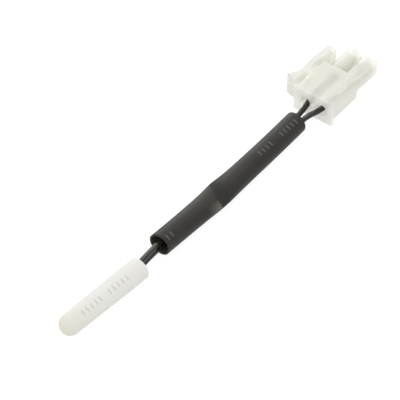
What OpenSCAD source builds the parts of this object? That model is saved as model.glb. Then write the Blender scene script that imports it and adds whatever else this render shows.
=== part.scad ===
// Appliance temperature probe, lying flat: a moulded bulb that holds the thermistor, two insulated
// wires, a loose outer sleeve that has kinked at its middle, and a two-way socket housing.
// X runs along the lead towards the mating end, Z is up, and the origin is the middle of the
// housing's underside.

/* [Bulb] */
// Diameter of the bulb along the land at its open end
bulb_d = 7; // [6.8:0.1:8]
// Diameter of the bulb where its round tip starts, less than the land by the mould's draft
bulb_tip_d = 6.6; // [5.8:0.1:6.8]
// Length of the bulb from its open end to its tip
bulb_l = 32.8; // [28:0.1:40]
// Length of the straight land at the open end, which a clip grips
land_l = 8; // [5:0.5:12]
// Wall of the bulb
bulb_wall = 0.8; // [0.6:0.05:0.9]
// Wall at the very tip of the bulb
tip_wall = 1.2; // [0.9:0.1:2]
// Rounding of the rim at the open end
rim_r = 0.35; // [0.1:0.05:0.38]
// How far the potting stands below the rim
potting_recess = 1; // [0.5:0.1:2]
// Hollow that the potting's face shrank to as it set
meniscus = 0.4; // [0.1:0.1:0.6]

/* [Sensing element] */
// Diameter of the coated thermistor bead
bead_d = 2.4; // [1.6:0.1:3]
// Length of the coated thermistor bead
bead_l = 3.8; // [3:0.1:6]
// Distance from the bulb's tip to the middle of the bead
bead_from_tip = 6.3; // [6.3:0.1:8.8]
// Diameter of a lead of the bead
lead_d = 0.4; // [0.3:0.05:0.5]
// Gap between the two leads where they enter the bead, centre to centre
lead_gap = 1.1; // [0.8:0.1:1.2]
// Length of a solder joint between a wire and a lead
joint_l = 2.6; // [2:0.1:3]
// Diameter of a solder joint
joint_d = 1.3; // [1:0.05:1.35]
// Outside diameter of the insulating tube over a joint
joint_tube_d = 1.7; // [1.65:0.05:1.7]
// Wall of the insulating tube over a joint
joint_tube_wall = 0.13; // [0.1:0.01:0.14]
// Length of the insulating tube over a joint
joint_tube_l = 3.4; // [3.1:0.1:3.6]

/* [Wires] */
// Outside diameter of a wire's insulation
wire_d = 1.8; // [1.5:0.05:1.85]
// Diameter of a wire's copper core
core_d = 0.8; // [0.6:0.05:0.9]
// Bare copper past the insulation inside the bulb
core_out_bulb = 1.7; // [1.4:0.1:1.9]
// Bare copper past the insulation inside the terminal
core_out_terminal = 2.5; // [1.5:0.1:2.6]

/* [Sleeve] */
// Outside diameter of the sleeve where it is still round
sleeve_d = 7.2; // [7:0.1:9]
// Wall of the sleeve
sleeve_wall = 0.55; // [0.4:0.05:0.6]
// Length of the sleeve
sleeve_l = 66.8; // [60:0.1:70]
// Distance from the sleeve's near end to the housing
sleeve_gap = 8.3; // [6:0.1:12]
// Distance from the sleeve's near end to the kink
kink_from_end = 39.4; // [37:0.1:44]
// How much wider and lower each half of the oval is at the kink
kink_squash = 0.8; // [0.2:0.1:1.2]
// Distance over which the oval fades to half
kink_reach = 6; // [4:0.5:7]
// Sideways step of the sleeve at the kink
kink_shift = 0.5; // [0:0.1:0.8]
// Distance over which the sideways step fades to half
shift_reach = 4; // [3:0.5:6]
// Sideways bow of the sleeve at its far end
sleeve_bow = 0.87; // [0:0.01:1]
// Distance from the sleeve's near end to the flattest place of that bow
bow_from_end = 29.7; // [20:0.1:40]

/* [Housing] */
// Distance between the two contacts
pitch = 6.35; // [6.2:0.05:6.5]
// Length of the housing's body
body_l = 15.1; // [14:0.1:17]
// Height of the housing
housing_h = 8.7; // [8.2:0.1:10]
// Half width of the body on the plain side
body_right = 6; // [5.6:0.1:6.8]
// Half width of the body on the latch side
body_left = 6.8; // [6.4:0.1:6.9]
// Width of the rear flange
flange_w = 14.5; // [14:0.1:16]
// Thickness of the rear flange
flange_t = 1.2; // [0.8:0.1:2]
// Length of the ramp from the flange to the body's plain side
ramp_l = 1.8; // [0.5:0.1:3]
// Rounding of the long edges
edge_r = 0.3; // [0.2:0.1:1]
// Diameter of the wire entries
entry_d = 4.4; // [3.8:0.1:4.5]
// Length of the two towers past the body
tower_l = 12.1; // [11:0.1:14]
// Diameter of the round tower
round_tower_d = 6.1; // [5.2:0.1:6.2]
// Width of the square tower
square_tower_w = 4.6; // [4.3:0.1:5]
// Height of the square tower
square_tower_h = 5.3; // [4.4:0.1:5.6]
// Rounding of the square tower's long edges
square_tower_r = 0.7; // [0.3:0.1:1]
// Chamfer round the tip of each tower
tower_chamfer = 0.3; // [0.1:0.05:0.5]
// Diameter of the bore in each tower
tower_bore_d = 3.6; // [3.5:0.05:3.7]
// Diameter of the ring that the contact's barbs catch on
catch_d = 3.2; // [3.1:0.05:3.3]
// Length of that ring
catch_l = 1.5; // [1:0.1:2]
// Thickness of the lip at the tower's mouth
lip_l = 1.4; // [1:0.1:2]
// Diameter of the hole in the lip
lip_d = 2.5; // [2.3:0.05:2.7]
// Diameter of the gate mark on the rear face
gate_d = 1.1; // [0.6:0.1:1.5]

/* [Latch] */
// Height of the latch lever
latch_h = 7.7; // [6:0.1:8]
// Thickness of the lever's thumb pad at its rear end
pad_t = 3.4; // [2.5:0.1:3.6]
// How far the thumb pad stands out from the housing's middle
pad_out = 12.9; // [12.4:0.1:14]
// Thickness of the lever's arm
arm_t = 1.9; // [1.5:0.1:2.2]
// How far the arm's middle stands out from the housing's middle
arm_out = 11.2; // [11:0.1:12]
// How far the arm's nose stands out from the housing's middle
nose_out = 10.5; // [10.3:0.1:11]
// Depth of the hook on the arm's nose
hook_d = 1; // [0.3:0.1:1.1]
// Distance from the rear face to the nose of the arm
latch_reach = 23.2; // [20:0.1:25]
// Length of the web that joins the lever to the body
web_l = 4; // [3:0.1:5]

/* [Terminals] */
// Outside diameter of a terminal's barrel
barrel_d = 2.9; // [2.7:0.05:3]
// Bore of the barrel, for a pin of 2.13
barrel_bore_d = 2.16; // [2.1:0.01:2.2]
// Length of the barrel
barrel_l = 10.6; // [9:0.1:11]
// Width of the seam along the barrel
seam_w = 0.2; // [0.1:0.05:0.3]
// How far a barb stands out of the barrel
barb_out = 0.25; // [0.1:0.05:0.3]
// Length of a barb
barb_l = 2.4; // [1.5:0.1:3]
// Width of a barb
barb_w = 0.8; // [0.5:0.1:1]
// Outside diameter of the crimp round the insulation
jacket_crimp_d = 2.5; // [2.2:0.05:2.8]
// Length of the crimp round the insulation
jacket_crimp_l = 2.3; // [1.5:0.1:3]
// Outside diameter of the crimp round the copper
core_crimp_d = 1.9; // [1.7:0.05:2.1]
// Length of the crimp round the copper
core_crimp_l = 2.2; // [1.5:0.1:2.3]
// Depth of the groove where the two wings of a crimp meet
wing_groove = 0.25; // [0.1:0.05:0.3]
// Width of the strip that joins the crimps to the barrel
strip_w = 1.2; // [0.8:0.1:1.6]
// Thickness of that strip, folded on itself
strip_t = 0.5; // [0.4:0.05:0.6]

/* [Hidden] */

// Clearance between pieces that touch on the real probe
fit = 0.03;
// Overlap of pieces that are fused, and of cuts past a face
bite = 0.2;
// Segments of a full circle
round_fn = 64;
small_fn = 32;

// Route of each wire, from the end of its insulation in the bulb to its end in the terminal
route_a = [
    [-97.8, -0.5, 4.7], [-93.3, -0.25, 4.7], [-88.2, 0.1, 4.7], [-83.1, 0.5, 4.5],
    [-78, 0.9, 4.1], [-72.9, 1.1, 3.6], [-67.8, 1.2, 3.0], [-62.7, 1.3, 2.5],
    [-57.6, 1.4, 2.1], [-52.5, 1.3, 2.0], [-47.4, 1.1, 2.2], [-42.3, 0.9, 2.4],
    [-37.2, 0.8, 2.7], [-32.1, 0.8, 2.9], [-27, 0.9, 3.1], [-21.9, 1.0, 3.3],
    [-16.8, 1.3, 3.5], [-12.2, 1.6, 3.5], [-7.8, 2.15, 3.6], [-3.6, 2.9, 4.0],
    [0, 3.175, 4.35], [2.5, 3.175, 4.35]
];
route_b = [
    [-97.8, -0.6, 2.6], [-93.3, -0.3, 2.8], [-88.2, 0.05, 2.85], [-83.1, 0.3, 2.65],
    [-78, 0.35, 2.3], [-72.9, 0.05, 1.95], [-67.8, -0.3, 1.8], [-62.7, -0.5, 1.8],
    [-57.6, -0.5, 1.7], [-52.5, -0.6, 1.7], [-47.4, -0.8, 1.8], [-42.3, -1.0, 2.1],
    [-37.2, -1.1, 2.4], [-32.1, -1.1, 2.7], [-27, -1.1, 3.0], [-21.9, -1.0, 3.4],
    [-16.8, -0.95, 3.7], [-12.2, -1.3, 3.9], [-7.8, -2.45, 3.95], [-3.6, -3.1, 4.2],
    [0, -3.175, 4.35], [2.5, -3.175, 4.35]
];
cord_sides = 8;
sleeve_sides = 32;
sleeve_rings = 26;

// The bulb lies on its land, a little askew to the housing
bulb_face = [-93.3, -0.9];
bulb_yaw = 3.6;
bulb_r = bulb_d / 2;
tip_r = bulb_tip_d / 2;
bore_tip_r = tip_r - bulb_wall;
bore_l_bulb = bulb_l - tip_wall;
bead_depth = bulb_l - bead_from_tip;

// The sleeve lies on its lowest line
rear_x = -body_l / 2;
sleeve_x1 = rear_x - sleeve_gap;
sleeve_x0 = sleeve_x1 - sleeve_l;
kink_x = sleeve_x1 - kink_from_end;
bow_x = sleeve_x1 - bow_from_end;
sleeve_side_y = -0.35;

// The housing
mid_z = housing_h / 2;
front_x = rear_x + body_l;
tower_x = front_x + tower_l;
catch_x = front_x - catch_l;
lip_x = tower_x - lip_l;
latch_z = 0.1;
latch_edge = 0.15;
waist_out = pad_out - 2.3;
gate_depth = 0.6;
gate_z = mid_z + 0.9;

// The terminals, whose barrel ends just behind the lip
barrel_end = lip_x - 0.2;
barrel_x = barrel_end - barrel_l;
barb_x = front_x + 0.15;
jacket_x = route_a[len(route_a) - 1].x;
jacket_crimp_x = jacket_x - jacket_crimp_l;
core_crimp_x = jacket_x + 0.4;
strip_z = 0.05 - barrel_d / 2;

white = "#ecebe6";
black = "#2b2a28";
nylon = "#e4e4dc";
tin = "#c9c6bd";

// Direction from q to p, as a unit vector
function toward(p, q) = (p - q) / norm(p - q);
// Direction of a route at point i
function heading(path, i) =
    toward(path[min(i + 1, len(path) - 1)], path[max(i - 1, 0)]);
// Points of a ring round p, square to direction t
function ring(p, t, r, n) =
    let (side = toward(cross([0, 0, 1], t), [0, 0, 0]), top = cross(t, side))
    [for (k = [0 : n - 1]) p + r * (cos(360 * k / n) * side + sin(360 * k / n) * top)];
// Two triangles between neighbouring rings, for side k of n
function side_pair(a, b, k, n) =
    let (m = (k + 1) % n) [[a + k, b + k, b + m], [a + k, b + m, a + m]];
function flip(face) = [face[2], face[1], face[0]];
function flat(list) = [for (group = list) for (item = group) item];
// Direction in which a route leaves its first or its last point
function exit_first(path) = toward(path[0], path[1]);
function exit_last(path) = toward(path[len(path) - 1], path[len(path) - 2]);
function stretched(path, first, last) = concat(
    [path[0] + first * exit_first(path)], path,
    [path[len(path) - 1] + last * exit_last(path)]);

// A round bar swept along a path
module bar(path, r, n) {
    rings = [for (i = [0 : len(path) - 1]) ring(path[i], heading(path, i), r, n)];
    last = (len(path) - 1) * n;
    sides = flat([for (i = [0 : len(path) - 2]) for (k = [0 : n - 1])
        side_pair(i * n, (i + 1) * n, k, n)]);
    caps = concat([for (k = [1 : n - 2]) [0, k, k + 1]],
                  [for (k = [1 : n - 2]) [last, last + k + 1, last + k]]);
    polyhedron(points = flat(rings), faces = concat(sides, caps));
}

// A tube made of an outer and an inner skin, each a list of rings of n points
module skin(outer, inner, n) {
    count = len(outer);
    shift = count * n;
    last = (count - 1) * n;
    out = flat([for (i = [0 : count - 2]) for (k = [0 : n - 1])
        side_pair(i * n, (i + 1) * n, k, n)]);
    in = [for (face = out) flip([for (v = face) v + shift])];
    first_end = flat([for (k = [0 : n - 1]) side_pair(shift, 0, k, n)]);
    last_end = flat([for (k = [0 : n - 1]) side_pair(last, last + shift, k, n)]);
    polyhedron(points = concat(flat(outer), flat(inner)),
               faces = concat(out, in, first_end, last_end));
}

// Turns a shape built on +Z to start at p and lie along the unit direction d
module turned(p, d) {
    translate(p) rotate([0, acos(d.z), atan2(d.y, d.x)]) children();
}

// A straight rod from p along the unit direction d
module rod(p, d, l, r) {
    turned(p, d) cylinder(h = l, r = r, $fn = small_fn);
}

// Turns a shape built on +Z to lie along the bulb, from its open end to its tip
module along_bulb() {
    translate([bulb_face.x, bulb_face.y, bulb_r])
        rotate([0, 0, 180 - bulb_yaw])
            rotate([0, 90, 0])
                children();
}

module bulb_profile() {
    intersection() {
        union() {
            translate([0, bulb_l - tip_r]) circle(tip_r, $fn = round_fn);
            polygon([[0, rim_r], [bulb_r, rim_r], [bulb_r, land_l],
                     [tip_r, bulb_l - tip_r], [0, bulb_l - tip_r]]);
            square([bulb_r - rim_r, rim_r + bite / 2]);
            translate([bulb_r - rim_r, rim_r]) circle(rim_r, $fn = small_fn);
        }
        square([bulb_r + 1, bulb_l + 1]);
    }
}

// Half section of the bulb's bore, or of what fills it from a given depth
module bore_profile(from, gap) {
    intersection() {
        union() {
            translate([0, bore_l_bulb - bore_tip_r]) circle(bore_tip_r - gap, $fn = round_fn);
            polygon([[0, from], [bulb_r - bulb_wall - gap, from], [bulb_r - bulb_wall - gap, land_l],
                     [bore_tip_r - gap, bore_l_bulb - bore_tip_r], [0, bore_l_bulb - bore_tip_r]]);
        }
        translate([0, from]) square([bulb_r, bulb_l]);
    }
}

module bulb_cap() {
    color(white)
        along_bulb()
            difference() {
                rotate_extrude($fn = round_fn) bulb_profile();
                rotate_extrude($fn = round_fn) bore_profile(-bite, 0);
            }
}

// The bead lies on the bulb's axis, and its leads enter its rear end side by side
module bead_shape(gap) {
    half = (bead_l - bead_d) / 2;
    along_bulb() {
        translate([0, 0, bead_depth - half]) cylinder(h = 2 * half, d = bead_d + 2 * gap, $fn = small_fn);
        for (z = [bead_depth - half, bead_depth + half])
            translate([0, 0, z]) sphere(d = bead_d + 2 * gap, $fn = small_fn);
    }
}

function bulb_point(depth, up) =
    [bulb_face.x - depth * cos(bulb_yaw), bulb_face.y + depth * sin(bulb_yaw), bulb_r + up];
// A lead starts at the end of the wire's copper, leaves the joint straight and ends in the bead
function lead_path(path, up, gap) =
    let (d = exit_first(path),
         start = path[0] + (core_out_bulb + 2 * fit) * d,
         bend = path[0] + (joint_tube_l + 0.5) * d,
         end = bulb_point(bead_depth - bead_l / 2 + 0.7, up * lead_gap / 2))
    [start - gap * d, bend, end + gap * toward(end, bend)];

module lead_shape(path, up, gap) {
    bar(lead_path(path, up, gap), lead_d / 2 + gap, cord_sides);
}

// Solder drawn out to a thin edge at both ends of the joint
module joint_profile() {
    polygon([
        [0, 0], [0.35 * joint_d, 0], [0.5 * joint_d, 0.3 * joint_d],
        [0.5 * joint_d, joint_l - 0.4 * joint_d], [0.3 * joint_d, joint_l], [0, joint_l]
    ]);
}

module thermistor_bead() {
    color("#23201d")
        difference() {
            bead_shape(0);
            lead_shape(route_a, 1, fit);
            lead_shape(route_b, -1, fit);
        }
}

module bead_lead(path, up) {
    color(tin) lead_shape(path, up, 0);
}

module solder_joint(path, up) {
    d = exit_first(path);
    color("#b9bab8")
        difference() {
            turned(path[0] + 0.4 * d, d) rotate_extrude($fn = small_fn) joint_profile();
            rod(path[0], d, core_out_bulb + fit, core_d / 2 + fit);
            lead_shape(path, up, fit);
        }
}

module joint_tube(path) {
    d = exit_first(path);
    p = path[0] + fit * d;
    color("#d8d3b8")
        difference() {
            rod(p, d, joint_tube_l, joint_tube_d / 2);
            rod(p - bite * d, d, joint_tube_l + 2 * bite, joint_tube_d / 2 - joint_tube_wall);
        }
}

// The potting fills the bulb round the wires, the joints, the leads and the bead
module potting() {
    sag = bulb_r - bulb_wall;
    dish_r = (sag * sag + meniscus * meniscus) / (2 * meniscus);
    channel_r = max(wire_d, joint_tube_d) / 2 + fit;
    color("#cfcdc4")
        difference() {
            along_bulb()
                difference() {
                    rotate_extrude($fn = round_fn) bore_profile(potting_recess, fit);
                    translate([0, 0, potting_recess + meniscus - dish_r]) sphere(dish_r, $fn = 128);
                }
            for (path = [route_a, route_b]) {
                d = exit_first(path);
                rod(path[1] - 2 * d, d, norm(path[1] - path[0]) + 2 + joint_tube_l + 3 * fit, channel_r);
            }
            lead_shape(route_a, 1, fit);
            lead_shape(route_b, -1, fit);
            bead_shape(fit);
        }
}

module wire_jacket(path) {
    color(black)
        skin([for (i = [0 : len(path) - 1]) ring(path[i], heading(path, i), wire_d / 2, cord_sides)],
             [for (i = [0 : len(path) - 1]) ring(path[i], heading(path, i), core_d / 2 + fit, cord_sides)],
             cord_sides);
}

module wire_core(path) {
    color("#b87a4b")
        bar(stretched(path, core_out_bulb, core_out_terminal), core_d / 2, cord_sides);
}

// How far the sleeve is from round at x, and where its middle lies
function squash(x) = kink_squash / (1 + pow((x - kink_x) / kink_reach, 2));
function sleeve_y(x) =
    sleeve_side_y + sleeve_bow * pow((x - bow_x) / (bow_x - sleeve_x0), 2)
    + kink_shift / (1 + pow((x - kink_x) / shift_reach, 2));
// An oval of the sleeve at x, inset from the outside by the given depth
function oval(x, inset) =
    let (wide = sleeve_d / 2 + squash(x), high = sleeve_d / 2 - squash(x))
    [for (k = [0 : sleeve_sides - 1])
        let (t = 360 * k / sleeve_sides)
        [x, sleeve_y(x) + (wide - inset) * cos(t), high + (high - inset) * sin(t)]];

module outer_sleeve() {
    places = [for (i = [0 : sleeve_rings]) sleeve_x0 + sleeve_l * i / sleeve_rings];
    color(black)
        skin([for (x = places) oval(x, 0)], [for (x = places) oval(x, sleeve_wall)], sleeve_sides);
}

// A rectangle with round corners, from (y0, z0) to (y1, z1), extruded along X from x by l
module rounded_bar(x, l, y0, y1, z0, z1, r) {
    translate([x, 0, 0])
        rotate([90, 0, 90])
            linear_extrude(l) {
                translate([y0 + r, z0]) square([y1 - y0 - 2 * r, z1 - z0]);
                translate([y0, z0 + r]) square([y1 - y0, z1 - z0 - 2 * r]);
                for (y = [y0 + r, y1 - r], z = [z0 + r, z1 - r])
                    translate([y, z]) circle(r, $fn = small_fn);
            }
}

// A cylinder along X
module x_cylinder(x, y, z, l, d1, d2, fn) {
    translate([x, y, z]) rotate([0, 90, 0]) cylinder(h = l, d1 = d1, d2 = d2, $fn = fn);
}

module round_tower() {
    y = pitch / 2;
    x_cylinder(front_x - bite, y, mid_z, tower_l + bite - tower_chamfer,
               round_tower_d, round_tower_d, round_fn);
    x_cylinder(tower_x - tower_chamfer, y, mid_z, tower_chamfer,
               round_tower_d, round_tower_d - 2 * tower_chamfer, round_fn);
}

module square_tower() {
    y = -pitch / 2;
    w = square_tower_w / 2;
    h = square_tower_h / 2;
    rounded_bar(front_x - bite, tower_l + bite - tower_chamfer,
                y - w, y + w, mid_z - h, mid_z + h, square_tower_r);
    rounded_bar(front_x - bite, tower_l + bite,
                y - w + tower_chamfer, y + w - tower_chamfer,
                mid_z - h + tower_chamfer, mid_z + h - tower_chamfer, square_tower_r);
}

// The ramp that runs from the flange down to the body's plain side
module ramp() {
    translate([0, 0, edge_r])
        linear_extrude(housing_h - 2 * edge_r)
            polygon([[rear_x + flange_t - bite, -flange_w / 2], [rear_x + flange_t, -flange_w / 2],
                     [rear_x + flange_t + ramp_l, -body_right],
                     [rear_x + flange_t + ramp_l, -body_right + bite],
                     [rear_x + flange_t - bite, -body_right + bite]]);
}

// What each contact needs in the housing: entry, catch ring, tower bore and lip
module cavity(y) {
    x_cylinder(rear_x - bite, y, mid_z, catch_x - rear_x + bite, entry_d, entry_d, round_fn);
    x_cylinder(catch_x - bite, y, mid_z, catch_l + 2 * bite, catch_d, catch_d, round_fn);
    x_cylinder(front_x, y, mid_z, lip_x - front_x, tower_bore_d, tower_bore_d, round_fn);
    x_cylinder(lip_x - bite, y, mid_z, lip_l + 2 * bite, lip_d, lip_d, round_fn);
    x_cylinder(tower_x - tower_chamfer, y, mid_z, tower_chamfer + bite,
               lip_d, lip_d + 2 * (tower_chamfer + bite), round_fn);
}

// The latch lever, seen from above: thumb pad, waist over the web, arm and hooked nose
module latch_outline() {
    nose_in = nose_out - arm_t - hook_d;
    polygon([
        [rear_x + 3.3, pad_out - pad_t], [rear_x + 4.2, pad_out], [rear_x + 8, waist_out + 0.2],
        [rear_x + 9.5, waist_out], [rear_x + 15, arm_out], [rear_x + latch_reach - latch_edge, nose_out],
        [rear_x + latch_reach, nose_out - latch_edge], [rear_x + latch_reach, nose_in + latch_edge],
        [rear_x + latch_reach - latch_edge, nose_in], [rear_x + latch_reach - 2, nose_in],
        [rear_x + latch_reach - 2.4, nose_out + 0.2 - arm_t], [rear_x + 15, arm_out - arm_t],
        [rear_x + 9, waist_out - arm_t]
    ]);
    translate([rear_x + 8.8, body_left - edge_r])
        square([web_l, waist_out - arm_t + bite - body_left + edge_r]);
}

module connector_housing() {
    color(nylon)
        difference() {
            union() {
                rounded_bar(rear_x, flange_t, -flange_w / 2, flange_w / 2, 0, housing_h, edge_r);
                rounded_bar(rear_x, body_l, -body_right, body_left, 0, housing_h, edge_r);
                ramp();
                round_tower();
                square_tower();
                translate([0, 0, latch_z]) linear_extrude(latch_h) latch_outline();
            }
            for (y = [-pitch / 2, pitch / 2]) cavity(y);
            x_cylinder(rear_x - bite, 0, gate_z, gate_depth + bite, gate_d, gate_d, small_fn);
        }
}

// A crimp along X, with the groove along its top where its two wings meet
module crimp(x, l, d) {
    difference() {
        x_cylinder(x, 0, 0, l, d, d, small_fn);
        translate([x - bite, 0, d / 2])
            rotate([45, 0, 0])
                translate([0, -wing_groove / 2, -wing_groove / 2])
                    cube([l + 2 * bite, wing_groove, wing_groove]);
    }
}

// A barb, sprung out of the barrel's side, that catches in front of the housing's ring
module barb(side) {
    root = barrel_d / 2 - 0.1;
    translate([0, 0, -barb_w / 2])
        linear_extrude(barb_w)
            polygon([[barb_x, side * root], [barb_x, side * (barrel_d / 2 + barb_out)],
                     [barb_x + barb_l, side * root]]);
}

module terminal(y) {
    color(tin)
        translate([0, y, mid_z])
            difference() {
                union() {
                    x_cylinder(barrel_x, 0, 0, barrel_l, barrel_d, barrel_d, round_fn);
                    crimp(core_crimp_x, core_crimp_l, core_crimp_d);
                    crimp(jacket_crimp_x, jacket_crimp_l, jacket_crimp_d);
                    translate([jacket_crimp_x, -strip_w / 2, strip_z])
                        cube([barrel_x + bite - jacket_crimp_x, strip_w, strip_t]);
                    for (side = [-1, 1]) barb(side);
                }
                x_cylinder(barrel_x - bite, 0, 0, barrel_l + 2 * bite,
                           barrel_bore_d, barrel_bore_d, round_fn);
                x_cylinder(jacket_crimp_x - bite, 0, 0, jacket_crimp_l + bite + fit,
                           wire_d + 2 * fit, wire_d + 2 * fit, small_fn);
                x_cylinder(jacket_x, 0, 0, core_out_terminal + fit,
                           core_d + 2 * fit, core_d + 2 * fit, small_fn);
                translate([barrel_x - bite, -seam_w / 2, 0]) cube([barrel_l + 2 * bite, seam_w, barrel_d]);
            }
}

bulb_cap();
potting();
thermistor_bead();
bead_lead(route_a, 1);  // bead_lead_a
bead_lead(route_b, -1);  // bead_lead_b
solder_joint(route_a, 1);  // solder_joint_a
solder_joint(route_b, -1);  // solder_joint_b
joint_tube(route_a);  // joint_tube_a
joint_tube(route_b);  // joint_tube_b
wire_jacket(route_a);  // wire_jacket_a
wire_jacket(route_b);  // wire_jacket_b
wire_core(route_a);  // wire_core_a
wire_core(route_b);  // wire_core_b
outer_sleeve();
connector_housing();
terminal(pitch / 2);  // terminal_a
terminal(-pitch / 2);  // terminal_b
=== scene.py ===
import math

import bmesh
import bpy
from mathutils import Matrix, Vector


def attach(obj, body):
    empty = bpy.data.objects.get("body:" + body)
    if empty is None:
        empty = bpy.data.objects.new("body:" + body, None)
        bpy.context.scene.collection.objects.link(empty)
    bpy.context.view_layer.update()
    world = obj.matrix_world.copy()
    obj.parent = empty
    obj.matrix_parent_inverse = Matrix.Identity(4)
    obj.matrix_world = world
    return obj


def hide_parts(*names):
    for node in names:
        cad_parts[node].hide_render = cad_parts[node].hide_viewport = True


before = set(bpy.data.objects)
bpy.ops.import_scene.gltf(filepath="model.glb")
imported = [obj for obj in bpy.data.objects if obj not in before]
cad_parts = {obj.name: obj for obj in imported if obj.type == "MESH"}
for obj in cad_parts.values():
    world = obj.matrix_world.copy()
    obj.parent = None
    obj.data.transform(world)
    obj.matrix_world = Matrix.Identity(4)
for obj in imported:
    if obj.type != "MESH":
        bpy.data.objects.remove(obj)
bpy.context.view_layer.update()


# Camera. The probe lies along X, and the photograph looks down on it at 45 degrees from the left
# of the bulb, from far enough away that the view is almost parallel.

MM = 0.001
CAMERA_ELEVATION = math.radians(44.62)
CAMERA_HEADING = math.radians(52.14)
CAMERA_TARGET = Vector((-57.9, 4.8, 0)) * MM
CAMERA_DISTANCE = 747.3 * MM
CAMERA_LENS = 225

ahead = Vector((math.sin(CAMERA_HEADING), math.cos(CAMERA_HEADING), 0))
sight = math.cos(CAMERA_ELEVATION) * ahead - math.sin(CAMERA_ELEVATION) * Vector((0, 0, 1))
camera = bpy.data.objects.new("camera", bpy.data.cameras.new("camera"))
bpy.context.scene.collection.objects.link(camera)
camera.location = CAMERA_TARGET - CAMERA_DISTANCE * sight
camera.rotation_euler = sight.to_track_quat("-Z", "Y").to_euler()
camera.data.lens = CAMERA_LENS
camera.data.clip_start = 0.01
camera.data.clip_end = 20
bpy.context.scene.camera = camera
bpy.context.scene.view_settings.view_transform = "Standard"


# Table and studio light. A white sheet lies under the probe and a pale room stands round it; a wide
# soft box hangs overhead and a little behind, so that upper edges are light and near sides darker.
# A panel behind and a small lamp over it show only in reflections, as pale edges and fine highlights.

SHEET_SIZE = 3.0
SHEET_DROP = 0.02 * MM
SHEET_GLOW = 0.86
ROOM_STRENGTH = 1.02
BOX_SIZE = 0.9
BOX_POWER = 1.2
BOX_PLACE = Vector((0.05, 0.28, 0.9))
PANEL_SIZE = 0.6
PANEL_POWER = 3.0
PANEL_PLACE = Vector((0.5, 0.75, 0.36))
HIGHLIGHT_SIZE = 0.15
HIGHLIGHT_POWER = 0.9
HIGHLIGHT_PLACE = Vector((0.48, 0.03, 0.78))


def rgb(hexcode):
    """A linear colour from an sRGB hex value."""
    parts = [int(hexcode[i:i + 2], 16) / 255 for i in (1, 3, 5)]
    return [c / 12.92 if c <= 0.04045 else ((c + 0.055) / 1.055) ** 2.4 for c in parts] + [1.0]


def node(tree, kind, inputs=None, **settings):
    """Adds a node, with its settings and with its inputs filled by values or other nodes' sockets."""
    added = tree.nodes.new(kind)
    for name, value in settings.items():
        setattr(added, name, value)
    for name, value in (inputs or {}).items():
        if isinstance(value, bpy.types.NodeSocket):
            tree.links.new(value, added.inputs[name])
        else:
            added.inputs[name].default_value = value
    return added


def new_material(name):
    """An empty material and its tree."""
    material = bpy.data.materials.new(name)
    material.use_nodes = True
    material.node_tree.nodes.clear()
    return material, material.node_tree


def finish_material(tree, shader):
    """Joins the shader to the material's output."""
    node(tree, "ShaderNodeOutputMaterial", {"Surface": shader.outputs[0]})


def seen_as_white(tree):
    """One for what is seen, straight, in a reflection or through a clear body, and zero for light."""
    rays = node(tree, "ShaderNodeLightPath")
    seen = rays.outputs["Is Camera Ray"]
    for kind in ("Is Glossy Ray", "Is Transmission Ray"):
        seen = node(tree, "ShaderNodeMath", {0: seen, 1: rays.outputs[kind]},
                    operation="ADD", use_clamp=True).outputs[0]
    return seen


# Matt white paper: seen, it glows almost white and takes a faint shadow, and the light that it sends
# back up under the probe is that of plain paper
sheet_paper, tree = new_material("white_sheet_paper")
plain = node(tree, "ShaderNodeBsdfDiffuse", {"Color": rgb("#f2f2f0")})
faint = node(tree, "ShaderNodeBsdfDiffuse", {"Color": rgb("#8c8c8c")})
glow = node(tree, "ShaderNodeEmission", {"Color": rgb("#ffffff"), "Strength": SHEET_GLOW})
bright = node(tree, "ShaderNodeAddShader", {0: faint.outputs[0], 1: glow.outputs[0]})
paper = node(tree, "ShaderNodeMixShader",
             {"Fac": seen_as_white(tree), 1: plain.outputs[0], 2: bright.outputs[0]})
finish_material(tree, paper)

bm = bmesh.new()
bmesh.ops.create_grid(bm, x_segments=1, y_segments=1, size=SHEET_SIZE / 2,
                      matrix=Matrix.Translation((0, 0, -SHEET_DROP)))
sheet_mesh = bpy.data.meshes.new("table_sheet")
bm.to_mesh(sheet_mesh)
bm.free()
sheet = bpy.data.objects.new("table_sheet", sheet_mesh)
sheet_mesh.materials.append(sheet_paper)
bpy.context.scene.collection.objects.link(sheet)

# The room looks plain white, and lights the probe a trace more strongly
room = bpy.data.worlds.new("pale_room")
bpy.context.scene.world = room
room.use_nodes = True
tree = room.node_tree
tree.nodes.clear()
strength = node(tree, "ShaderNodeMix", {"Factor": seen_as_white(tree), "A": ROOM_STRENGTH, "B": 1.0})
lit = node(tree, "ShaderNodeBackground",
           {"Color": rgb("#ffffff"), "Strength": strength.outputs["Result"]})
node(tree, "ShaderNodeOutputWorld", {"Surface": lit.outputs[0]})


def lamp(name, place, size, power, lights_up):
    """A square soft lamp that faces the probe, and lights it up or only shows in its reflections."""
    light = bpy.data.lights.new(name, "AREA")
    light.shape = "SQUARE"
    light.size = size
    light.energy = power
    holder = bpy.data.objects.new(name, light)
    holder.location = place
    holder.rotation_euler = (CAMERA_TARGET - place).to_track_quat("-Z", "Y").to_euler()
    holder.visible_diffuse = lights_up
    bpy.context.scene.collection.objects.link(holder)


lamp("soft_box", BOX_PLACE, BOX_SIZE, BOX_POWER, lights_up=True)
lamp("back_panel", PANEL_PLACE, PANEL_SIZE, PANEL_POWER, lights_up=False)
lamp("highlight_lamp", HIGHLIGHT_PLACE, HIGHLIGHT_SIZE, HIGHLIGHT_POWER, lights_up=False)


# The two wires. Stranded copper in extruded black vinyl, 1.8 mm outside, which leave the bulb one
# above the other, lie side by side on the sleeve's floor and part again to reach the housing.

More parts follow.
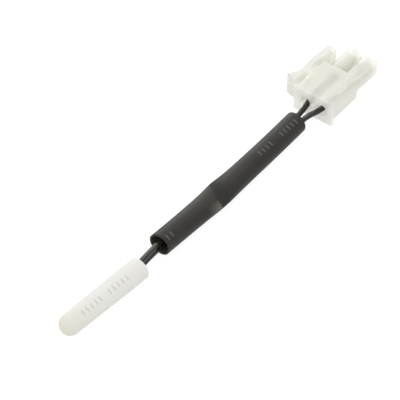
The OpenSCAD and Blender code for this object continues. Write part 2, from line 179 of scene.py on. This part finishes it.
WIRE_D = 1.8 * MM
ROUTE_A = [
    (-0.0978, -0.0005, 0.0047), (-0.0933, -0.00025, 0.0047), (-0.0882, 0.0001, 0.0047),
    (-0.0831, 0.0005, 0.0045), (-0.078, 0.0009, 0.0041), (-0.0729, 0.0011, 0.0036),
    (-0.0678, 0.0012, 0.003), (-0.0627, 0.0013, 0.0025), (-0.0576, 0.0014, 0.0021),
    (-0.0525, 0.0013, 0.002), (-0.0474, 0.0011, 0.0022), (-0.0423, 0.0009, 0.0024),
    (-0.0372, 0.0008, 0.0027), (-0.0321, 0.0008, 0.0029), (-0.027, 0.0009, 0.0031),
    (-0.0219, 0.001, 0.0033), (-0.0168, 0.0013, 0.0035), (-0.0122, 0.0016, 0.0035),
    (-0.0078, 0.00215, 0.0036), (-0.0036, 0.0029, 0.004), (0, 0.003175, 0.00435),
    (0.0025, 0.003175, 0.00435),
]
ROUTE_B = [
    (-0.0978, -0.0006, 0.0026), (-0.0933, -0.0003, 0.0028), (-0.0882, 0.00005, 0.00285),
    (-0.0831, 0.0003, 0.00265), (-0.078, 0.00035, 0.0023), (-0.0729, 0.00005, 0.00195),
    (-0.0678, -0.0003, 0.0018), (-0.0627, -0.0005, 0.0018), (-0.0576, -0.0005, 0.0017),
    (-0.0525, -0.0006, 0.0017), (-0.0474, -0.0008, 0.0018), (-0.0423, -0.001, 0.0021),
    (-0.0372, -0.0011, 0.0024), (-0.0321, -0.0011, 0.0027), (-0.027, -0.0011, 0.003),
    (-0.0219, -0.001, 0.0034), (-0.0168, -0.00095, 0.0037), (-0.0122, -0.0013, 0.0039),
    (-0.0078, -0.00245, 0.00395), (-0.0036, -0.0031, 0.0042), (0, -0.003175, 0.00435),
    (0.0025, -0.003175, 0.00435),
]

DENT_DEPTH = 0.05 * MM
LINE_LENGTH = 17 * MM
LINE_WIDTH = 0.4 * MM


def die_lines(tree, spot, length, width, detail):
    """A pattern of faint lines along X, as a die leaves them, about as long and wide as given."""
    drawn = node(tree, "ShaderNodeMapping", {"Vector": spot, "Scale": (1 / length, 1 / width, 1 / width)})
    lines = node(tree, "ShaderNodeTexNoise", {"Vector": drawn.outputs[0], "Scale": 1.0, "Detail": detail})
    return lines.outputs["Fac"]


# Extruded vinyl: a dense black with a satin skin and faint lines from the die along its length
wire_vinyl, tree = new_material("black_vinyl_insulation")
spot = node(tree, "ShaderNodeTexCoord").outputs["Object"]
lines = die_lines(tree, spot, LINE_LENGTH, LINE_WIDTH, detail=3.0)
tone = node(tree, "ShaderNodeMix", {"Factor": lines, "A": rgb("#1e1d18"), "B": rgb("#2b2a23")},
            data_type="RGBA")
dent = node(tree, "ShaderNodeBump", {"Height": lines, "Strength": 0.15, "Distance": DENT_DEPTH})
wire_skin = node(tree, "ShaderNodeBsdfPrincipled",
                 {"Base Color": tone.outputs["Result"], "Normal": dent.outputs[0],
                  "Roughness": 0.14, "Specular IOR Level": 0.35})
finish_material(tree, wire_skin)


def wire(name, route):
    """A smooth round wire along its route, in place of its plain tube."""
    line = bpy.data.curves.new(name, "CURVE")
    line.dimensions = "3D"
    line.bevel_depth = WIRE_D / 2
    line.bevel_resolution = 6
    line.resolution_u = 6
    line.use_fill_caps = True
    spline = line.splines.new("BEZIER")
    spline.bezier_points.add(len(route) - 1)
    for point, place in zip(spline.bezier_points, route):
        point.co = place
        point.handle_left_type = point.handle_right_type = "AUTO"
    line.materials.append(wire_vinyl)
    piece = bpy.data.objects.new(name, line)
    bpy.context.scene.collection.objects.link(piece)
    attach(piece, "root")
    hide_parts(name.replace("lead", "jacket"))


wire("wire_lead_a", ROUTE_A)
wire("wire_lead_b", ROUTE_B)


def solid_material(name, dark, light, roughness, clouds, metallic=0.0):
    """A material whose colour drifts between two tones, over clouds of the given size."""
    material, tree = new_material(name)
    spot = node(tree, "ShaderNodeTexCoord").outputs["Object"]
    cloud = node(tree, "ShaderNodeTexNoise", {"Vector": spot, "Scale": 1 / clouds, "Detail": 4.0})
    tone = node(tree, "ShaderNodeMix",
                {"Factor": cloud.outputs["Fac"], "A": rgb(dark), "B": rgb(light)}, data_type="RGBA")
    dent = node(tree, "ShaderNodeBump",
                {"Height": cloud.outputs["Fac"], "Strength": 0.1, "Distance": DENT_DEPTH})
    skin = node(tree, "ShaderNodeBsdfPrincipled",
                {"Base Color": tone.outputs["Result"], "Normal": dent.outputs[0],
                 "Roughness": roughness, "Metallic": metallic})
    finish_material(tree, skin)
    return material


def dress(name, material):
    """Gives a CAD node its material."""
    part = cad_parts[name]
    part.data.materials.clear()
    part.data.materials.append(material)


# Bare copper strand: warm and bright, with small darker spots
bare_copper = solid_material("bare_copper_strand", "#a8663f", "#c98a5c", roughness=0.35, clouds=0.4 * MM,
                             metallic=1.0)
dress("wire_core_a", bare_copper)
dress("wire_core_b", bare_copper)


# The outer sleeve. A soft black vinyl tube, 7.2 mm outside and cut square at both ends, that hangs
# loose on the wires. It was packed folded, and stays wide and low where it kinked.

SLEEVE_D = 7.2 * MM
SLEEVE_WALL = 0.55 * MM
SLEEVE_X0 = -82.65 * MM
SLEEVE_X1 = -15.85 * MM
SLEEVE_SIDES = 64
SLEEVE_STEPS = 241

# Its middle line bows to one side, and at the kink it is wider and lower and steps aside
SIDE_Y = -0.35 * MM
BOW = 0.87 * MM
BOW_X = -45.55 * MM
KINK_X = -55.25 * MM
KINK_SQUASH = 0.8 * MM
KINK_REACH = 6 * MM
KINK_SHIFT = 0.5 * MM
SHIFT_REACH = 4 * MM

# The crease runs aslant round it. Beside it, the side at FLAT_ANGLE is pressed in from FLAT_FAR to
# FLAT_NEAR, over FLAT_SHORT towards the bulb and FLAT_LONG towards the housing, with a rounded edge
CREASE_X = -56.05 * MM
CREASE_LEAN = Vector((0, 0.54, -0.46))
LEAN_REACH = 9 * MM
FLAT_ANGLE = math.radians(122)
FLAT_SIDE = Vector((0, math.cos(FLAT_ANGLE), math.sin(FLAT_ANGLE)))
FLAT_FAR = 3.9 * MM
FLAT_NEAR = 2.8 * MM
FLAT_SHORT = 1.1 * MM
FLAT_LONG = 10 * MM
FLAT_EDGE = 0.12 * MM


def fade(x, reach):
    """One at the kink, and ever less away from it, with half left at the given reach."""
    return 1 / (1 + ((x - KINK_X) / reach) ** 2)


def pressed(x, out):
    """Presses flat the side that the fold faced: at once from the bulb's side, slowly to the other."""
    near = max(0.0, 1 - abs(x - CREASE_X) / (FLAT_SHORT if x < CREASE_X else FLAT_LONG))
    depth = near ** 2 if x < CREASE_X else near ** 2 * (3 - 2 * near)
    over = out.dot(FLAT_SIDE) - FLAT_FAR + (FLAT_FAR - FLAT_NEAR) * depth
    return out - FLAT_SIDE * FLAT_EDGE * math.log(1 + math.exp(over / FLAT_EDGE))


def sleeve_place(x, angle):
    """A point of the sleeve's outside: its oval lies on the table all along."""
    squash = KINK_SQUASH * fade(x, KINK_REACH)
    wide = SLEEVE_D / 2 + squash
    high = SLEEVE_D / 2 - squash
    middle = SIDE_Y + BOW * ((x - BOW_X) / (BOW_X - SLEEVE_X0)) ** 2 + KINK_SHIFT * fade(x, SHIFT_REACH)
    out = pressed(x, Vector((0, wide * math.cos(angle), high * math.sin(angle))))
    lean = math.exp(-((x - CREASE_X) / LEAN_REACH) ** 2) * out.dot(CREASE_LEAN)
    return Vector((x + lean, middle, high)) + out


# A tube of one by one, whose height and angle are then laid along and round the sleeve
bm = bmesh.new()
bmesh.ops.create_cone(bm, segments=SLEEVE_SIDES, radius1=1, radius2=1, depth=1, cap_ends=False,
                      matrix=Matrix.Translation((0, 0, 0.5)))
along = [e for e in bm.edges if abs(e.verts[0].co.z - e.verts[1].co.z) > 0.5]
bmesh.ops.subdivide_edges(bm, edges=along, cuts=SLEEVE_STEPS - 1, use_grid_fill=True)
for v in bm.verts:
    x = SLEEVE_X0 + (SLEEVE_X1 - SLEEVE_X0) * v.co.z
    v.co = sleeve_place(x, math.atan2(v.co.y, v.co.x))
bmesh.ops.recalc_face_normals(bm, faces=bm.faces)

# Measured along the tube, less the crease's lean, a pale painted highlight grows up to the fold line,
# most of all on its -Y side, and past the line a painted shade lies on it, matt and without gloss
PAINTED_HIGHLIGHT_FROM = -61 * MM
FOLD_X = -54.95 * MM
FOLD_BLUR = 0.45 * MM
PAINTED_SHADE_FROM = -53.5 * MM
PAINTED_SHADE_TO = -47.5 * MM
PAINTED_HIGHLIGHT_Y_FROM = -2.2 * MM
PAINTED_HIGHLIGHT_Y_TO = -4.8 * MM
HIGHLIGHT_GLOSS_CUT = 0.55

# Lines from the die run along it, and its gloss comes and goes in clouds
DRAW_LENGTH = 40 * MM
DRAW_WIDTH = 1.1 * MM
DRAW_DEPTH = 0.1 * MM
GLOSS_SIZE = 5.5 * MM

# Three rows of plain bars stand for the print along its top
BAR_PITCH = 1.8 * MM
BAR_HALF_LENGTH = 0.8 * MM
SLEEVE_BAR_WIDTH = 0.6 * MM
SLEEVE_BAR_Y = -1.4 * MM
SLEEVE_ROWS = ((-82 * MM, -78.4 * MM), (-37.4 * MM, -30.2 * MM), (-26.6 * MM, -17.6 * MM))


def bars(tree, spot, first, last, width, y_middle, z_floor):
    """A row of plain printed bars across X, as a mask: no lettering, only its place and weight."""
    at = node(tree, "ShaderNodeSeparateXYZ", {"Vector": spot})
    count = node(tree, "ShaderNodeMath", {0: at.outputs["X"], 1: 1 / BAR_PITCH, 2: -first / BAR_PITCH},
                 operation="MULTIPLY_ADD")
    within = node(tree, "ShaderNodeMath", {0: count.outputs[0]}, operation="FRACT")
    mask = node(tree, "ShaderNodeMath", {0: within.outputs[0], 1: 0.5, 2: width / BAR_PITCH / 2},
                operation="COMPARE")
    row = node(tree, "ShaderNodeMath", {0: at.outputs["X"], 1: (first + last) / 2, 2: (last - first) / 2},
               operation="COMPARE")
    tall = node(tree, "ShaderNodeMath", {0: at.outputs["Y"], 1: y_middle, 2: BAR_HALF_LENGTH},
                operation="COMPARE")
    upper = node(tree, "ShaderNodeMath", {0: at.outputs["Z"], 1: z_floor}, operation="GREATER_THAN")
    for limit in (row, tall, upper):
        mask = node(tree, "ShaderNodeMath", {0: mask.outputs[0], 1: limit.outputs[0]},
                    operation="MULTIPLY")
    return mask.outputs[0]


# Soft vinyl tubing: charcoal, satin, with faint draw lines. Past the crease a painted shade takes its
# gloss away, and along the crease lies a pale painted highlight, most of all on its -Y side
sleeve_vinyl, tree = new_material("soft_black_vinyl_tube")
spot = node(tree, "ShaderNodeTexCoord").outputs["Object"]
fold = node(tree, "ShaderNodeVectorMath", {0: spot, 1: (1, -CREASE_LEAN.y, -CREASE_LEAN.z)},
            operation="DOT_PRODUCT").outputs["Value"]
past = node(tree, "ShaderNodeMapRange",
            {"Value": fold, "From Min": FOLD_X - FOLD_BLUR, "From Max": FOLD_X + FOLD_BLUR})
left = node(tree, "ShaderNodeMapRange",
            {"Value": fold, "From Min": PAINTED_SHADE_FROM, "From Max": PAINTED_SHADE_TO, "To Min": 1.0, "To Max": 0.0},
            interpolation_type="SMOOTHSTEP")
# painted shade past the fold line, matt and without gloss
painted_shade = node(tree, "ShaderNodeMath", {0: past.outputs[0], 1: left.outputs[0]}, operation="MULTIPLY")
near = node(tree, "ShaderNodeMapRange", {"Value": fold, "From Min": PAINTED_HIGHLIGHT_FROM, "From Max": FOLD_X},
            interpolation_type="SMOOTHSTEP")
near = node(tree, "ShaderNodeMath", {0: near.outputs[0], 1: past.outputs[0]},
            operation="SUBTRACT", use_clamp=True)
across = node(tree, "ShaderNodeSeparateXYZ", {"Vector": spot})
under = node(tree, "ShaderNodeMapRange",
             {"Value": across.outputs["Y"], "From Min": PAINTED_HIGHLIGHT_Y_FROM, "From Max": PAINTED_HIGHLIGHT_Y_TO,
              "To Min": 0.1, "To Max": 1.0})
# painted highlight up to the fold line, strongest on the -Y side
painted_highlight = node(tree, "ShaderNodeMath", {0: near.outputs[0], 1: under.outputs[0]}, operation="MULTIPLY")
# the painted highlight and the painted shade also take away the gloss
painted_light_gloss_cut = node(tree, "ShaderNodeMath", {0: near.outputs[0], 1: HIGHLIGHT_GLOSS_CUT, 2: painted_shade.outputs[0]},
            operation="MULTIPLY_ADD", use_clamp=True)
lines = die_lines(tree, spot, DRAW_LENGTH, DRAW_WIDTH, detail=4.0)
layers = [(painted_shade.outputs[0], "#353430"), (painted_highlight.outputs[0], "#6e6d66")]
for first, last in SLEEVE_ROWS:
    ink = bars(tree, spot, first, last, SLEEVE_BAR_WIDTH, SLEEVE_BAR_Y, z_floor=SLEEVE_D / 2)
    layers.append((ink, "#4e4d49"))
tone = node(tree, "ShaderNodeMix", {"Factor": lines, "A": rgb("#26251f"), "B": rgb("#2d2b26")},
            data_type="RGBA")
for share, colour in layers:
    tone = node(tree, "ShaderNodeMix", {"Factor": share, "A": tone.outputs["Result"], "B": rgb(colour)},
                data_type="RGBA")
dent = node(tree, "ShaderNodeBump", {"Height": lines, "Strength": 0.2, "Distance": DRAW_DEPTH})
cloud = node(tree, "ShaderNodeTexNoise", {"Vector": spot, "Scale": 1 / GLOSS_SIZE, "Detail": 3.0})
gloss = node(tree, "ShaderNodeMapRange", {"Value": cloud.outputs["Fac"], "To Min": 0.47, "To Max": 0.57})
shine = node(tree, "ShaderNodeMapRange", {"Value": painted_light_gloss_cut.outputs[0], "To Min": 0.26, "To Max": 0.05})
sleeve_skin = node(tree, "ShaderNodeBsdfPrincipled",
                   {"Base Color": tone.outputs["Result"], "Normal": dent.outputs[0],
                    "Roughness": gloss.outputs[0], "Specular IOR Level": shine.outputs[0]})
finish_material(tree, sleeve_skin)


def link_piece(name, bm, material, plain):
    """Makes a finished piece of a bmesh, in place of its plain CAD node."""
    mesh = bpy.data.meshes.new(name)
    bm.to_mesh(mesh)
    bm.free()
    mesh.materials.append(material)
    mesh.polygons.foreach_set("use_smooth", [True] * len(mesh.polygons))
    piece = bpy.data.objects.new(name, mesh)
    bpy.context.scene.collection.objects.link(piece)
    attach(piece, "root")
    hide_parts(plain)
    return piece


sleeve = link_piece("sleeve_tube", bm, sleeve_vinyl, "outer_sleeve")
wall = sleeve.modifiers.new("wall", "SOLIDIFY")
wall.thickness = SLEEVE_WALL
wall.offset = -1
wall.material_offset = 1

# Inside, the tube is painted a little paler, as painted light in its shaded bore, and quite dull
painted_light_vinyl = solid_material("inner_vinyl_painted_light", "#43423d", "#504f49", roughness=0.8, clouds=2.5 * MM)
sleeve.data.materials.append(painted_light_vinyl)


# The bulb. A deep cup moulded in off-white plastic with a round tip and a straight land at its open
# end, where a clip holds it.

BULB_D = 7 * MM
BULB_TIP_D = 6.6 * MM
BULB_L = 32.8 * MM
LAND_L = 8 * MM
BULB_WALL = 0.8 * MM
TIP_WALL = 1.2 * MM
RIM_R = 0.35 * MM
MOUTH_CHAMFER = 0.15 * MM
BULB_FACE = Vector((-93.3, -0.9, 3.5)) * MM
BULB_YAW = math.radians(3.6)
BULB_SEGMENTS = 96
MERGE_WITHIN = 0.0001 * MM


def arc(centre, radius, first, last, steps):
    """Points of an arc in the profile's plane, from one angle to another in degrees."""
    turns = [math.radians(first + (last - first) * i / steps) for i in range(steps + 1)]
    middle = Vector((centre[0], 0, centre[1]))
    return [middle + radius * Vector((math.cos(t), 0, math.sin(t))) for t in turns]


tip_r = BULB_TIP_D / 2
bore_r = BULB_D / 2 - BULB_WALL
bore_tip_r = tip_r - BULB_WALL
outside = arc((BULB_D / 2 - RIM_R, RIM_R), RIM_R, -90, 0, steps=6)
outside += [Vector((BULB_D / 2, 0, LAND_L))]
outside += arc((0, BULB_L - tip_r), tip_r, 0, 90, steps=24)
inside = arc((0, BULB_L - TIP_WALL - bore_tip_r), bore_tip_r, 90, 0, steps=16)
inside += [Vector((bore_r, 0, LAND_L)), Vector((bore_r, 0, MOUTH_CHAMFER))]
inside += [Vector((bore_r + MOUTH_CHAMFER, 0, 0))]

bm = bmesh.new()
corners = [bm.verts.new(point) for point in outside + inside]
edges = [bm.edges.new(pair) for pair in zip(corners, corners[1:] + corners[:1])]
bm.edges.remove(next(e for e in edges if all(abs(v.co.x) < MERGE_WITHIN for v in e.verts)))
bmesh.ops.spin(bm, geom=bm.verts[:] + bm.edges[:], cent=(0, 0, 0), axis=(0, 0, 1), dvec=(0, 0, 0),
               angle=2 * math.pi, steps=BULB_SEGMENTS, use_merge=True)
bmesh.ops.remove_doubles(bm, verts=bm.verts, dist=MERGE_WITHIN)
bmesh.ops.recalc_face_normals(bm, faces=bm.faces)
turn = Matrix.Rotation(math.pi - BULB_YAW, 4, "Z") @ Matrix.Rotation(math.pi / 2, 4, "Y")
bmesh.ops.transform(bm, matrix=Matrix.Translation(BULB_FACE) @ turn, verts=bm.verts)

# It yellows towards the tip, and two rows of bars stand for its print, measured from its open face
AGED_FROM = -112 * MM
AGED_TO = -126 * MM
BULB_BAR_WIDTH = 0.5 * MM
BULB_BAR_Y = -1.6 * MM
BULB_ROWS = ((-26.6 * MM, -17.6 * MM), (-15.6 * MM, -6.6 * MM))
MOULD_GRAIN = 0.65 * MM
BULB_LIGHT_REACH = 1 * MM

# Moulded off-white plastic: slightly translucent, satin, a little yellowed where the tip is thick
bulb_plastic, tree = new_material("off_white_moulded_plastic")
spot = node(tree, "ShaderNodeTexCoord").outputs["Object"]
along = node(tree, "ShaderNodeSeparateXYZ", {"Vector": spot})
aged = node(tree, "ShaderNodeMapRange",
            {"Value": along.outputs["X"], "From Min": AGED_FROM, "From Max": AGED_TO, "To Max": 0.7})
tone = node(tree, "ShaderNodeMix", {"Factor": aged.outputs[0], "A": rgb("#dfdeda"), "B": rgb("#ddd9cb")},
            data_type="RGBA")
own = node(tree, "ShaderNodeMapping",
           {"Vector": spot, "Location": tuple(BULB_FACE), "Rotation": (0, 0, -BULB_YAW)},
           vector_type="TEXTURE")
for first, last in BULB_ROWS:
    ink = bars(tree, own.outputs[0], first, last, BULB_BAR_WIDTH, BULB_BAR_Y, z_floor=0)
    tone = node(tree, "ShaderNodeMix", {"Factor": ink, "A": tone.outputs["Result"], "B": rgb("#cbcac4")},
                data_type="RGBA")
grain = node(tree, "ShaderNodeTexNoise", {"Vector": spot, "Scale": 1 / MOULD_GRAIN, "Detail": 2.0})
dent = node(tree, "ShaderNodeBump",
            {"Height": grain.outputs["Fac"], "Strength": 0.05, "Distance": DENT_DEPTH})
bulb_skin = node(tree, "ShaderNodeBsdfPrincipled",
                 {"Base Color": tone.outputs["Result"], "Normal": dent.outputs[0],
                  "Roughness": 0.5, "Specular IOR Level": 0.2, "Subsurface Weight": 0.5,
                  "Subsurface Radius": (1.0, 0.9, 0.75), "Subsurface Scale": BULB_LIGHT_REACH})
finish_material(tree, bulb_skin)
link_piece("bulb_moulding", bm, bulb_plastic, "bulb_cap")


# What the bulb holds. The bead is dipped in dark resin; its tinned leads are soldered to the wires
# inside thin tubes, and the whole is cast in with a dull cream resin.

# Epoxy cast in place: cream, with the soft clouds of its filler and the low gloss of a cured face
cast_resin = solid_material("cast_cream_epoxy", "#c3bfb0", "#d2cfc3", roughness=0.45, clouds=1.7 * MM)
dress("potting", cast_resin)

# Dipped resin: a dark brown drop that ran smooth and kept its gloss
dipped_resin = solid_material("dipped_dark_resin", "#171513", "#26221e", roughness=0.25, clouds=1.1 * MM)
dress("thermistor_bead", dipped_resin)

# Tinned copper wire and soft solder: silvery metal, the solder a little greyer and smoother where it
# flowed. Thin clear tubing: yellowish and glossy
tinned_wire = solid_material("tinned_copper_wire", "#b9b7b2", "#d0cec9", roughness=0.3, clouds=0.4 * MM,
                             metallic=1.0)
soft_solder = solid_material("soft_solder", "#a9aaa9", "#c4c5c4", roughness=0.28, clouds=0.65 * MM,
                             metallic=1.0)
thin_tubing = solid_material("thin_clear_tubing", "#d2ccb4", "#dfdac6", roughness=0.3, clouds=1.25 * MM)
for side in "ab":
    dress("bead_lead_" + side, tinned_wire)
    dress("solder_joint_" + side, soft_solder)
    dress("joint_tube_" + side, thin_tubing)


# The housing. Two sockets and a rocker latch moulded as one piece in nylon with no colour added, so
# that it is milky, takes light deep into its walls and shows the metal inside as a faint shade.

REAR_X = -7 * MM
LATCH_Y = 10.6 * MM
TONE_REACH = 2.5 * MM
FLOW_SIZE = 6.25 * MM
SKIN_GRAIN = 1.1 * MM
NYLON_LIGHT_REACH = 2 * MM

# Uncoloured moulded nylon: cloudy and slightly warm, with soft flow marks. The walls scatter light so
# strongly that what lies behind them shows as a soft shade, so the index is low and the surface rough.
# The rear is painted whiter, as painted light on its shaded faces, and the lever is painted a little
# darker, as painted shade
natural_nylon, tree = new_material("natural_moulded_nylon")
spot = node(tree, "ShaderNodeTexCoord").outputs["Object"]
where = node(tree, "ShaderNodeSeparateXYZ", {"Vector": spot})
# painted light on the rear end, and painted shade on the lever
painted_light_rear = node(tree, "ShaderNodeMapRange",
             {"Value": where.outputs["X"], "From Min": REAR_X + TONE_REACH, "From Max": REAR_X})
painted_shade_lever = node(tree, "ShaderNodeMapRange",
            {"Value": where.outputs["Y"], "From Min": LATCH_Y - TONE_REACH, "From Max": LATCH_Y})
cloud = node(tree, "ShaderNodeTexNoise", {"Vector": spot, "Scale": 1 / FLOW_SIZE, "Detail": 3.0})
tone = node(tree, "ShaderNodeMix",
            {"Factor": cloud.outputs["Fac"], "A": rgb("#f5f4ef"), "B": rgb("#f5f4eb")}, data_type="RGBA")
for share, colour in ((painted_light_rear, "#fbfaf6"), (painted_shade_lever, "#e6e5e0")):
    tone = node(tree, "ShaderNodeMix",
                {"Factor": share.outputs[0], "A": tone.outputs["Result"], "B": rgb(colour)},
                data_type="RGBA")
grain = node(tree, "ShaderNodeTexNoise", {"Vector": spot, "Scale": 1 / SKIN_GRAIN, "Detail": 3.0})
dent = node(tree, "ShaderNodeBump",
            {"Height": grain.outputs["Fac"], "Strength": 0.08, "Distance": DENT_DEPTH})
nylon_skin = node(tree, "ShaderNodeBsdfPrincipled",
                  {"Base Color": tone.outputs["Result"], "Normal": dent.outputs[0],
                   "Roughness": 1.0, "IOR": 1.03, "Transmission Weight": 0.55, "Subsurface Weight": 1.0,
                   "Subsurface Radius": (1.0, 0.97, 0.88), "Subsurface Scale": NYLON_LIGHT_REACH})
finish_material(tree, nylon_skin)
dress("connector_housing", natural_nylon)


# The contacts. Each is stamped from tinned brass strip and rolled into a barrel with one seam, two
# sprung barbs and two crimps that close on the wire's copper and on its insulation.

# Tinned brass strip: a warm pale grey metal, half bright, with the faint mottle of its tin
tinned_brass = solid_material("tinned_brass_strip", "#b5b1a6", "#cfccc3", roughness=0.3, clouds=0.55 * MM,
                              metallic=1.0)
for side in "ab":
    dress("terminal_" + side, tinned_brass)


# Last, the scene is brought up to date.

bpy.context.view_layer.update()
